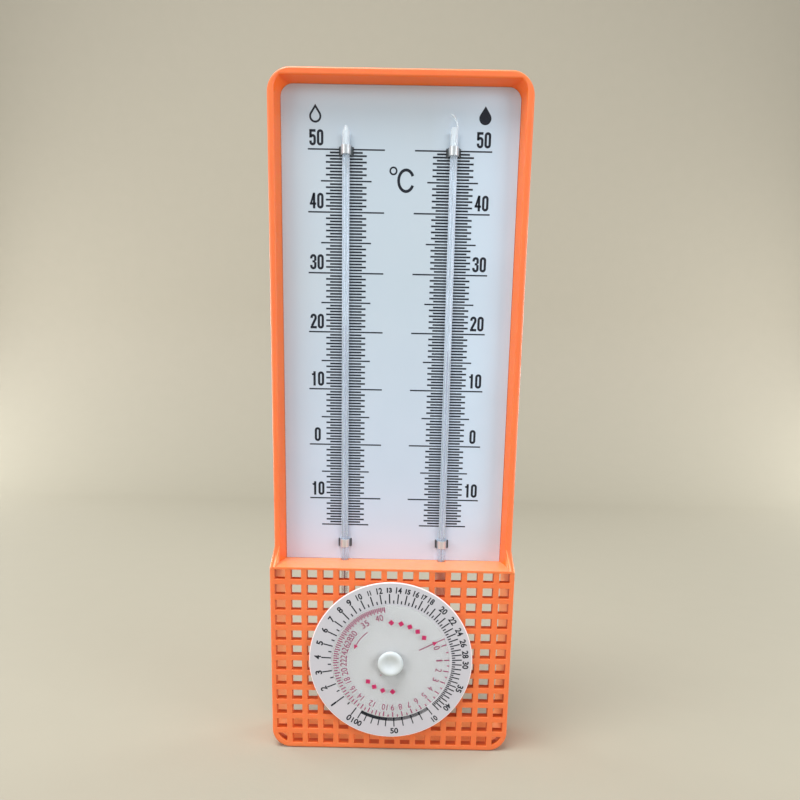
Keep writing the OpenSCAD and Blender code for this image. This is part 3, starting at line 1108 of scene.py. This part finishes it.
@dataclass
class ScalePlate(Assembly):
    """The white plate with its two printed scales and its signs."""

    face_y: float = 0.0054
    zero_z: float = 0.1324
    degree: float = 0.002337
    lowest: int = -15
    highest: int = 50
    line: float = 0.00066
    long_line: float = 0.00054
    ten_half: float = 0.0154
    five_half: float = 0.0102
    one_half: float = 0.0082
    part_half: float = 0.00655
    figure_x: float = 0.03335
    figure_gap: float = 0.0013
    ring: tuple[float, ...] = (-0.00246, 0.2417, 0.0013, 0.00064, 0, 360)
    unit: tuple[float, ...] = (0.00266, 0.23813, 0.00299, 0.00112, 116, 424, 0.001)
    dry_drop: Point = (-0.03375, 0.2622)
    wet_drop: Point = (0.03355, 0.26235)
    drop_size: Point = (0.0048, 0.0068)
    drop_line: float = 0.00075

    def build(self) -> None:
        """Dresses the plate and prints on it."""
        self.dress("scale_plate", self.palette.plate)
        for side, x in (("dry", -TUBE_X), ("wet", TUBE_X)):
            self._print(f"{side}_scale_lines", self._rule, x)
            self._print(f"{side}_scale_figures", self._figures, math.copysign(self.figure_x, x))
        self._print("plate_signs", self._signs)

    def _print(self, name: str, draw: Callable[..., None], *where: float) -> None:
        """Lays one print on the plate.

        Args:
            name: Name of the print.
            draw: Draws it on a press.
            where: Where it goes.
        """
        press = Press(self.face_y)
        draw(press, *where)
        anchor(press.laid(name, self.palette.black_ink), Body.FRAME, Slot.PLATE)

    def _rule(self, press: Press, x: float) -> None:
        """Prints one thermometer's lines, two to a degree.

        Args:
            press: The print that they go into.
            x: Middle of the lines.
        """
        for step in range(2 * self.lowest, 2 * self.highest + 1):
            half, line = self.part_half, self.line
            if step % 2 == 0:
                half = self.one_half
            if step % 10 == 0:
                half, line = self.five_half, self.long_line
            if step % 20 == 0:
                half = self.ten_half
            press.bar(x, self.zero_z + step * self.degree / 2, 2 * half, line)

    def _figures(self, press: Press, x: float) -> None:
        """Prints the figures of every tenth degree above their lines.

        Args:
            press: The print that they go into.
            x: Middle of the figures.
        """
        bold = BoldFigures()
        for value in range(-10, self.highest + 1, 10):
            z = self.zero_z + value * self.degree + self.figure_gap + bold.height / 2
            bold.lay(press, str(abs(value)), x, z)

    def _signs(self, press: Press) -> None:
        """Prints the unit, and an empty and a full drop that mark the dry and the wet side.

        Args:
            press: The print that they go into.
        """
        press.arc(*self.ring)
        press.arc(*self.unit)
        press.drop(*self.dry_drop, *self.drop_size, self.drop_line)
        press.drop(*self.wet_drop, *self.drop_size, None)


@dataclass
class Thermometer(Assembly):
    """One thermometer with its milky backing, its liquid and its two clips."""

    name: str
    x: float
    high_z: float
    low_z: float = 0.0925
    fused_z: float = 0.2503
    backing_r: float = 0.00110
    backing_t: float = 0.00018
    backing_angle: float = 164.0
    clip_edge: float = 0.00008

    def build(self) -> None:
        """Builds the backing and dresses the glass, liquid and clips."""
        anchor(self._stem(), Body.FRAME, Slot.GLASS, f"{self.name}_tube")
        self.dress(f"{self.name}_spirit", self.palette.spirit)
        for clip in (f"{self.name}_upper_clip", f"{self.name}_lower_clip"):
            self.soften(clip, f"{clip}_strap", Body.FRAME, Slot.METAL, [self.palette.metal],
                        self.clip_edge)
        anchor(self._backing(), Body.FRAME, Slot.GLASS)

    def _stem(self) -> Piece:
        """Copies the glass and gives its fused end a paler, cloudier finish, which is a painted
        highlight.

        Returns:
            The stem.
        """
        bm = self.solid(f"{self.name}_tube")
        bmesh.ops.bisect_plane(bm, geom=[*bm.verts, *bm.edges, *bm.faces],
                               plane_co=(0, 0, self.fused_z), plane_no=(0, 0, 1))
        for face in bm.faces:
            # faces above the fused height take the paler glass, a painted highlight
            face.material_index = int(face.calc_center_median().z > self.fused_z)
        return finished(f"{self.name}_stem", bm, [self.palette.glass, self.palette.frosted])

    def _backing(self) -> Piece:
        """Shapes the milky strip in the back of the stem's glass.

        Returns:
            The strip.
        """
        bm = bmesh.new()
        a = math.radians((180 - self.backing_angle) / 2)
        out = Vector((math.cos(a), math.sin(a), 0))
        axis = Vector((self.x, TUBE_Y, 0))
        inner, outer = self.backing_r, self.backing_r + self.backing_t
        section = ((inner, self.low_z), (outer, self.low_z),
                   (outer, self.high_z), (inner, self.high_z))
        face = bm.faces.new([bm.verts.new(axis + out * r + Vector((0, 0, z))) for r, z in section])
        spun(bm, [face, *face.edges, *face.verts], axis, (0, 0, 1), self.backing_angle, 14, False)
        bmesh.ops.recalc_face_normals(bm, faces=bm.faces)
        return finished(f"{self.name}_backing", bm, [self.palette.enamel])


@dataclass
class WetService(Assembly):
    """The wick, and the cup with its bracket behind the dial."""

    sleeve_low: float = 0.0474
    sleeve_high: float = 0.079
    tail_low: float = 0.0282
    lump: float = 0.00006
    lumps: float = 900.0
    tuck: float = 0.00004
    pole: float = 0.00001
    cup_edge: float = 0.00025
    bracket_edge: float = 0.00015

    def build(self) -> None:
        """Builds and dresses what keeps the wet bulb wet."""
        anchor(self._sleeve(), Body.FRAME, Slot.COTTON, "wick")
        self.soften("water_cup", "cup_soft", Body.CUP, Slot.MILKY, [self.palette.milky],
                    self.cup_edge)
        self.soften("cup_bracket", "bracket_soft", Body.FRAME, Slot.ORANGE,
                    [self.palette.orange], self.bracket_edge)

    def _sleeve(self) -> Piece:
        """Shapes the knitted sleeve over the bulb, with its tail.

        Returns:
            The sleeve.
        """
        tail, low, high = self.tail_low, self.sleeve_low, self.sleeve_high
        profile = ((0.0, tail), (0.0011, tail + 0.0002), (0.0013, tail + 0.002),
                   (0.0013, low - 0.0024), (0.0019, low - 0.0004), (0.0030, low + 0.0010),
                   (0.00344, low + 0.0032), (0.00344, low + 0.0098), (0.0027, low + 0.0126),
                   (0.00246, low + 0.015), (0.00246, high - 0.0006), (0.0023, high),
                   (0.00166, high - 0.0003))
        bm = lathed([(TUBE_X + r, TUBE_Y, z) for r, z in profile], (TUBE_X, TUBE_Y, 0),
                    (0, 0, 1), 32, 5)
        for vert in bm.verts:
            away = Vector((vert.co.x - TUBE_X, vert.co.y - TUBE_Y, 0))
            if away.length > self.pole:
                lump = noise.noise(vert.co * self.lumps) * self.lump
                vert.co += away.normalized() * (lump - self.tuck)
        return finished("wick_sleeve", bm, [self.palette.cotton], 60)


@dataclass(frozen=True)
class Lettering:
    """A kind of figures on the dial: where on the radius they stand and how large they are."""

    share: float
    height: float
    width: float
    weight: float = 0.03
    narrow: float = 0.42
    gap: float = 0.18


@dataclass
class Dial(Assembly):
    """The fixed dial, the clear disc that turns on it and the knob."""

    centre_z: float = 0.0418
    radius: float = 0.0349
    sheet_edge: float = 0.0004
    cut_r: float = 0.03448
    disc_edge: float = 0.0002
    face_y: float = -0.015
    disc_face: float = -0.01615
    crest_y: float = -0.01855
    crest_r: float = 0.0043
    bowl_y: float = -0.0174
    bowl_curve: float = 1.3
    knob_r: float = 0.0054
    brow_depth: float = 0.0008
    shank: tuple[Point, ...] = (
        (0.0054, -0.01745), (0.00532, -0.01722), (0.0045, -0.01625), (0.0044, -0.01615),
        (0.002, -0.01615), (0.002, -0.0071), (0.00185, -0.00695), (0.0, -0.00695))
    print_at: Point = (0.00035, 0.04168)
    fine_ink: float = 0.00002
    mark_ink: float = 0.000025
    spread: float = 169.0
    zero_at: float = -145.1
    soft: float = 9.81
    stops: tuple[Point, ...] = (
        (100, 208.6), (90, 202.8), (80, 196.7), (70, 190.6), (60, 184.2),
        (50, 176.9), (40, 169.1), (30, 160.6), (20, 152.2), (10, 142.8))
    red_stops: tuple[Point, ...] = (
        (0, 69.6), (1, 86.0), (2, 98.3), (4, 123.5), (6, 147.4), (8, 168.1), (10, 187.3),
        (14, 219.7), (18, 246.1), (22, 269.1), (26, 288.3), (30, 306.7), (35, 326.1), (42, 352.0))
    black_lines: tuple[Tick, Tick] = ((0.742, 0.861, 0.00052), (0.742, 0.782, 0.00052))
    humid_ten: Tick = (0.732, 0.855, 0.00045)
    humid_one: Tick = (0.732, 0.778, 0.00028)
    cold_lines: tuple[Tick, Tick] = ((0.645, 0.708, 0.00048), (0.678, 0.708, 0.00048))
    warm_lines: tuple[Tick, Tick] = ((0.645, 0.710, 0.00046), (0.664, 0.710, 0.00046))
    index_at: float = 63.3
    index_line: Tick = (0.375, 0.72, 0.0004)
    index_head: Point = (0.582, 0.0011)
    head_length: float = 1.3
    arrow_share: float = 0.484
    arrow_line: float = 0.00034
    arrow_span: Span = (296.0, 322.6)
    arrow_head: tuple[float, float, float] = (294.6, 0.0010, 204.6)
    dot: tuple[float, float, float] = (0.206, 218.0, 0.0003)
    one_figure: Lettering = Lettering(0.906, 0.0029, 0.0018)
    two_figures: Lettering = Lettering(0.908, 0.0027, 0.00155)
    squeezed: Lettering = Lettering(0.908, 0.0022, 0.00135, 0.055)
    red_figures: Lettering = Lettering(0.585, 0.0027, 0.0015, 0.0)
    humid_figures: tuple[tuple[str, float, Lettering], ...] = (
        ("100", 207.8, Lettering(0.905, 0.0026, 0.00165)),
        ("50", 176.9, Lettering(0.911, 0.0026, 0.0016)),
        ("10", 143.3, Lettering(0.917, 0.0026, 0.0015)))
    marks: tuple[tuple[float, tuple[float, ...]], ...] = (
        (0.511, (359, 12.4, 25, 37.6, 50)), (0.376, (176.7, 195.6, 213.1, 228.7)))
    mark_r: float = 0.0013

    def build(self) -> None:
        """Builds, prints and dresses the dial."""
        palette = self.palette
        base = self.soften("dial_base", "dial_sheet_soft", Body.FRAME, Slot.DIAL,
                           [palette.dial, palette.cut_edge], self.sheet_edge, 3)
        # faces outside the cut radius take the near-white edge finish, a painted glow
        for face in base.data.polygons:
            if math.hypot(face.center.x, face.center.z - self.centre_z) > self.cut_r:
                face.material_index = 1
        self.soften("dial_disc", "dial_disc_soft", Body.DIAL, Slot.CLEAR, [palette.clear],
                    self.disc_edge)
        anchor(self._knob(), Body.DIAL, Slot.KNOB, "dial_knob")
        for node, finish in (("dial_spacer", palette.knob), ("push_nut", palette.metal),
                             ("pivot_washer", palette.metal)):
            self.dress(node, finish)
        black = Press(self.face_y)
        self._outer_scale(black)
        self._humidity_scale(black)
        anchor(black.laid("dial_black_print", palette.black_ink), Body.FRAME, Slot.DIAL)
        for name, draw, thickness, ink in (
                ("disc_line_print", self._red_scale, self.fine_ink, palette.mauve_ink),
                ("disc_mark_print", self._red_marks, self.mark_ink, palette.red_ink)):
            red = Press(self.disc_face, thickness)
            draw(red)
            anchor(red.laid(name, ink), Body.DIAL, Slot.CLEAR)

    def _knob(self) -> Piece:
        """Turns the dished knob with its soft crest, its flare and its shank.

        Returns:
            The knob.
        """
        quarter = math.pi / 2
        depth, brow = self.crest_y - self.bowl_y, self.knob_r - self.crest_r
        bowl = [(self.crest_r * step / 12,
                 self.bowl_y + depth * math.sin(quarter * (step / 12) ** self.bowl_curve) ** 2)
                for step in range(13)]
        shoulder = [(self.crest_r + brow * math.sin(turn),
                     self.crest_y + self.brow_depth * (1 - math.cos(turn)))
                    for turn in (quarter * step / 8 for step in range(1, 9))]
        profile = [(r, y, self.centre_z) for r, y in (*bowl, *shoulder, *self.shank)]
        bm = lathed(profile, (0, 0, self.centre_z), (0, 1, 0), 64)
        return finished("dial_knob_turned", bm, [self.palette.knob], 50)

    def _at(self, share: float, angle: float) -> Point:
        """Gives the place at a share of the radius and an angle clockwise from the top."""
        a, reach = math.radians(angle), share * self.radius
        return self.print_at[0] + reach * math.sin(a), self.print_at[1] + reach * math.cos(a)

    def _tick(self, press: Press, angle: float, tick: Tick) -> None:
        """Prints a line of a scale."""
        inner, outer, width = tick
        press.spoke(self.print_at, angle, inner * self.radius, outer * self.radius, width)

    def _label(self, press: Press, value: object, angle: float, kind: Lettering,
               flip: float = 0.0) -> None:
        """Prints figures along the dial.

        Args:
            press: The print that they go into.
            value: The number.
            angle: Direction in degrees, clockwise from the top.
            kind: Size and place of the figures.
            flip: Angle that they are turned by from standing with their heads outwards.
        """
        text = str(value)
        figures = sum(kind.narrow if figure == "1" else 1.0 for figure in text)
        width = kind.width * (figures + kind.gap * (len(text) - 1))
        press.word(text, self._at(kind.share, angle), kind.height, width, angle + flip,
                   kind.weight)

    def _outer_scale(self, press: Press) -> None:
        """Prints the black temperature scale round the rim.

        Args:
            press: The print that it goes into.
        """
        def angle(value: float) -> float:
            """Gives the angle of a value."""
            return self.zero_at + self.spread * math.log(1 + value / self.soft)

        for step in range(85):
            self._tick(press, angle(step / 2), self.black_lines[step % 2])
        for value in (*range(19), *range(20, 31, 2), 35, 40):
            kind = self.one_figure if value < 10 else self.two_figures
            if value in (11, 13, 15, 17):
                kind = self.squeezed
            self._label(press, value, angle(value), kind)

    def _humidity_scale(self, press: Press) -> None:
        """Prints the black humidity scale along the bottom.

        Args:
            press: The print that it goes into.
        """
        for (_, first), (_, second) in zip(self.stops, self.stops[1:]):
            self._tick(press, first, self.humid_ten)
            for part in range(1, 10):
                self._tick(press, first + (second - first) * part / 10, self.humid_one)
        self._tick(press, self.stops[-1][1], self.humid_ten)
        for text, angle, kind in self.humid_figures:
            self._label(press, text, angle, kind, 180)

    def _red_angle(self, value: float) -> float:
        """Gives the angle of a value on the turning scale.

        Args:
            value: The value.

        Returns:
            The angle in degrees, clockwise from the top.
        """
        for (low, first), (high, second) in zip(self.red_stops, self.red_stops[1:]):
            if value <= high:
                break
        return first + (second - first) * (value - low) / (high - low)

    def _red_scale(self, press: Press) -> None:
        """Prints the turning scale, the index line, the arrow's bend and a fine dot.

        Args:
            press: The print that they go into.
        """
        for step in range(85):
            lines = self.cold_lines if step <= 20 else self.warm_lines
            self._tick(press, self._red_angle(step / 2), lines[step % 2])
        self._tick(press, self.index_at, self.index_line)
        press.arc(*self.print_at, self.arrow_share * self.radius, self.arrow_line,
                  *self.arrow_span)
        for value in (*range(11), *range(12, 31, 2), 35, 40):
            self._label(press, value, self._red_angle(value), self.red_figures)
        share, angle, radius = self.dot
        press.dot(self._at(share, angle), radius, 12)

    def _red_marks(self, press: Press) -> None:
        """Prints the heads of the index line and the arrow, and the plain marks inside the scale.

        Args:
            press: The print that they go into.
        """
        share, size = self.index_head
        press.dot(self._at(share, self.index_at), size, 3, self.index_at, self.head_length)
        angle, size, turn = self.arrow_head
        press.dot(self._at(self.arrow_share, angle), size, 3, turn, self.head_length)
        for share, angles in self.marks:
            for angle in angles:
                press.dot(self._at(share, angle), self.mark_r, 4, angle)


@dataclass(frozen=True)
class SoftPanel:
    """A soft lamp, with its width and height and its power in watts."""

    name: str
    place: Place
    aim: Place
    size: Point
    power: float
    tint: Place = (1.0, 1.0, 1.0)

    def hang(self) -> None:
        """Hangs the lamp at its place, turned to its aim."""
        data = bpy.data.lights.new(self.name, "AREA")
        data.shape, data.energy, data.color = "RECTANGLE", self.power, self.tint
        data.size, data.size_y = self.size
        holder = bpy.data.objects.new(self.name, data)
        bpy.context.scene.collection.objects.link(holder)
        way = Vector(self.aim) - Vector(self.place)
        turn = way.to_track_quat("-Z", "Y").to_matrix().to_4x4()
        holder.matrix_world = Matrix.Translation(self.place) @ turn


@dataclass
class Studio:
    """The floor, the soft lamps and the camera."""

    eye: Place = (0.003697, -0.277699, 0.147883)
    pitch: float = 10.72
    yaw: float = -0.16
    roll: float = -1.09
    lens: float = 29.25
    sensor: float = 36.0
    rise: float = 0.16525
    clip: Span = (0.01, 20.0)
    sweep_y: float = 0.75
    sweep_r: float = 0.35
    half_width: float = 2.5
    front: float = -1.6
    top: float = 2.2
    room: Colour = (0.97, 0.98, 1.0, 1.0)
    room_strength: float = 0.5
    lamps: tuple[SoftPanel, ...] = (
        SoftPanel("key_panel", (-0.28, -0.32, 1.4), (0, 0, 0.12), (0.9, 0.6), 18.8),
        SoftPanel("left_panel", (-1.0, -0.7, 0.5), (0, 0, 0.12), (0.6, 0.6), 4.6,
                  (1.0, 0.98, 0.95)),
        SoftPanel("right_panel", (1.0, -0.7, 0.4), (0, 0, 0.12), (0.6, 0.6), 5.6,
                  (0.93, 0.97, 1.0)),
        SoftPanel("left_back_panel", (-1.15, 0.7, 0.3), (0, 0, 0.1), (0.5, 0.5), 8.0),
        SoftPanel("right_back_panel", (1.15, 0.7, 0.3), (0, 0, 0.1), (0.5, 0.5), 8.0))

    def build(self, paper: Material) -> None:
        """Sets up the stage.

        Args:
            paper: Finish of the floor and backdrop.
        """
        self._camera()
        self._sweep(paper)
        for lamp in self.lamps:
            lamp.hang()
        world = bpy.data.worlds.new("soft_room")
        bpy.context.scene.world = world
        world.use_nodes = True
        back = world.node_tree.nodes["Background"]
        back.inputs["Color"].default_value = self.room
        back.inputs["Strength"].default_value = self.room_strength

    def _camera(self) -> None:
        """Places the camera at the photograph's viewpoint."""
        a, b, c = math.radians(self.pitch), math.radians(self.yaw), math.radians(self.roll)
        ahead = Vector((math.sin(b) * math.cos(a), math.cos(b) * math.cos(a), -math.sin(a)))
        right = Vector((math.cos(b), -math.sin(b), 0))
        down = ahead.cross(right)
        across = right * math.cos(c) + down * math.sin(c)
        below = down * math.cos(c) - right * math.sin(c)
        data = bpy.data.cameras.new("portrait_camera")
        data.lens, data.sensor_width, data.shift_y = self.lens, self.sensor, self.rise
        data.clip_start, data.clip_end = self.clip
        holder = bpy.data.objects.new("portrait_camera", data)
        bpy.context.scene.collection.objects.link(holder)
        turn = Matrix((across, -below, -ahead)).transposed().to_4x4()
        holder.matrix_world = Matrix.Translation(self.eye) @ turn
        bpy.context.scene.camera = holder

    def _sweep(self, paper: Material) -> None:
        """Shapes the floor and backdrop as one bent sheet.

        Args:
            paper: Its finish.
        """
        bm = bmesh.new()
        turns = [math.radians(step * 7.5) for step in range(1, 13)]
        bend = [(self.sweep_y + self.sweep_r * math.sin(a), self.sweep_r * (1 - math.cos(a)))
                for a in turns]
        path = [(self.front, 0.0), (self.sweep_y, 0.0), *bend,
                (self.sweep_y + self.sweep_r, self.top)]
        verts = [bm.verts.new((-self.half_width, y, z)) for y, z in path]
        edges = [bm.edges.new(pair) for pair in zip(verts, verts[1:])]
        made = bmesh.ops.extrude_edge_only(bm, edges=edges)["geom"]
        moved = [part for part in made if isinstance(part, bmesh.types.BMVert)]
        bmesh.ops.translate(bm, vec=(2 * self.half_width, 0, 0), verts=moved)
        bmesh.ops.recalc_face_normals(bm, faces=bm.faces)
        sheet = finished("studio_sweep", bm, [paper], 60)


def main() -> None:
    """Builds the whole scene in order."""
    logging.basicConfig(level=logging.INFO, format="%(message)s")
    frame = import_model()
    bpy.context.scene.view_settings.view_transform = "Standard"
    palette = Palette()
    Studio().build(palette.paper)
    Housing(frame, palette).build()
    ScalePlate(frame, palette).build()
    Thermometer(frame, palette, "dry", -TUBE_X, 0.2548).build()
    Thermometer(frame, palette, "wet", TUBE_X, 0.2558).build()
    WetService(frame, palette).build()
    Dial(frame, palette).build()


if __name__ == "__main__":
    main()
